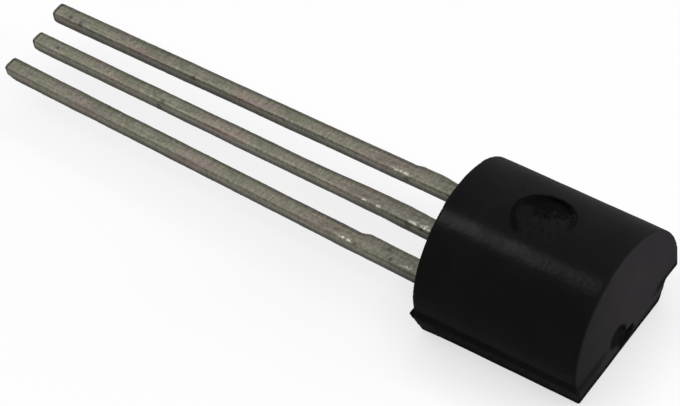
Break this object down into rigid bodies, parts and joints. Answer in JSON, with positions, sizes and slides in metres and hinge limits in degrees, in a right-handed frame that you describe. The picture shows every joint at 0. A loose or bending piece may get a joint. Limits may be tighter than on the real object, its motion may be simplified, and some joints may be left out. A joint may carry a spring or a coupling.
{
  "type": "to-92 transistor",
  "caption": "Small D-shaped moulded transistor with flat tinned leads in a row, a round back with an ejector-pin mark and a flat face.",
  "frame": {"origin": "middle of the flat face, where the part lies on its support", "axes": "+X across the row of leads, +Y along the leads towards their cut ends, +Z from the flat face to the crown of the round back"},
  "size_m": [0.0045, 0.018, 0.0035],
  "materials": {
    "moulding": "fine-grained black epoxy moulding compound",
    "tinned_lead": "dull tin plate, grey with a faint olive tone",
    "die_attach": "silver-filled die attach",
    "silicon": "polished silicon",
    "gold_wire": "bright gold wire"
  },
  "bodies": {
    "root": {"moulded_body": "moulding", "left_lead": "tinned_lead", "centre_lead": "tinned_lead", "right_lead": "tinned_lead", "die_attach": "die_attach", "silicon_die": "silicon", "left_bond_wire": "gold_wire", "right_bond_wire": "gold_wire"}
  },
  "joints": []
}
